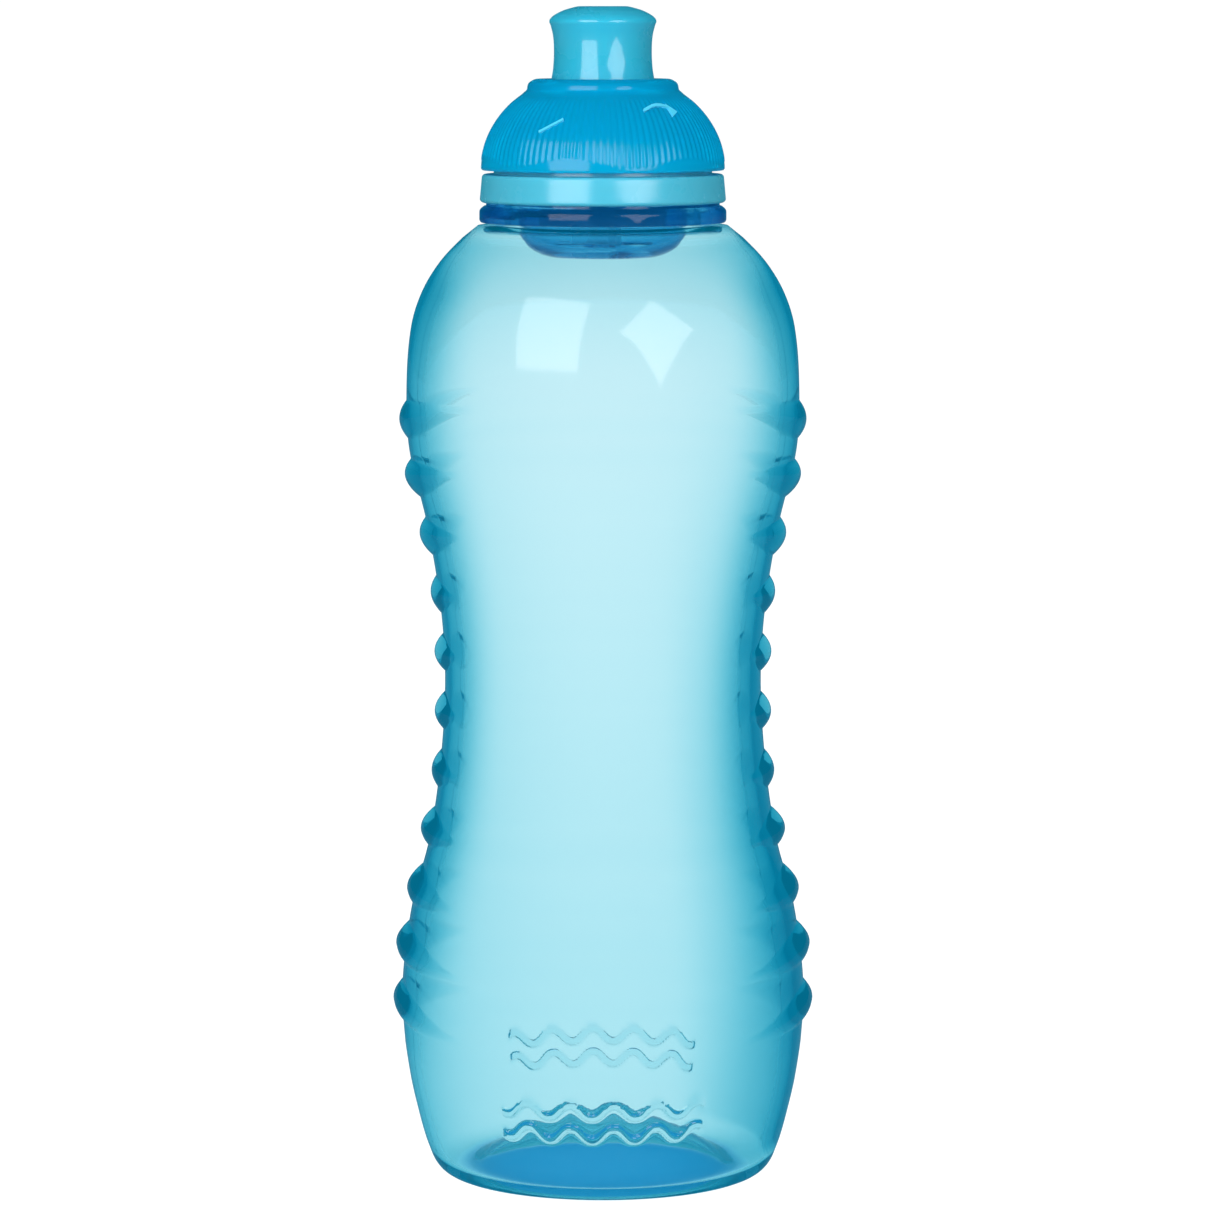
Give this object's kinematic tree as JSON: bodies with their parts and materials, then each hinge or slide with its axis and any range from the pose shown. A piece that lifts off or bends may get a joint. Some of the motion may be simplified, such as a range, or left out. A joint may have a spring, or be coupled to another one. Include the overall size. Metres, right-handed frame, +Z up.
{
  "type": "sports squeeze bottle",
  "caption": "Squeeze bottle with ribbed grip sides, screw cap and a twist dome that lifts a drinking spout off its valve post.",
  "frame": {"origin": "centre of the base, on the surface the bottle stands on", "axes": "+Z up the bottle's axis to the spout, -Y the front, the ribbed grip sides face -X and +X"},
  "size_m": [0.0718, 0.0692, 0.2],
  "materials": {
    "bottle_plastic": "translucent satin gloss",
    "cap_plastic": "translucent gloss",
    "base_plastic": "gloss",
    "dome_plastic": "fluted translucent gloss",
    "spout_plastic": "soft satin gloss",
    "stem_plastic": "satin",
    "seal_rubber": "matte"
  },
  "bodies": {
    "bottle": {"bottle_body": "bottle_plastic"},
    "gasket": {"neck_gasket": "seal_rubber"},
    "cap": {"screw_cap": "cap_plastic", "twist_base": "base_plastic", "valve_post": "cap_plastic"},
    "dome": {"twist_dome": "dome_plastic"},
    "spout": {"spout_stem": "stem_plastic", "stem_o_ring": "seal_rubber", "mouthpiece": "spout_plastic"}
  },
  "joints": [
    {"name": "cap_rise", "type": "slide", "parent": "bottle", "child": "gasket", "axis": [0, 0, 1], "range_m": [0, 0.027]},
    {"name": "cap_unscrew", "type": "hinge", "parent": "gasket", "child": "cap", "pos_m": [0, 0, 0.17], "axis": [0, 0, 1], "range_deg": [0, 2160]},
    {"name": "dome_twist", "type": "hinge", "parent": "cap", "child": "dome", "pos_m": [0, 0, 0.18], "axis": [0, 0, 1], "range_deg": [0, 90]},
    {"name": "spout_lift", "type": "slide", "parent": "cap", "child": "spout", "axis": [0, 0, 1], "range_m": [0, 0.004]}
  ],
  "couplings": [
    {"joint": "cap_rise", "follows": "cap_unscrew", "m_per_rad": 0.0007162},
    {"joint": "spout_lift", "follows": "dome_twist", "m_per_rad": 0.0025465}
  ]
}
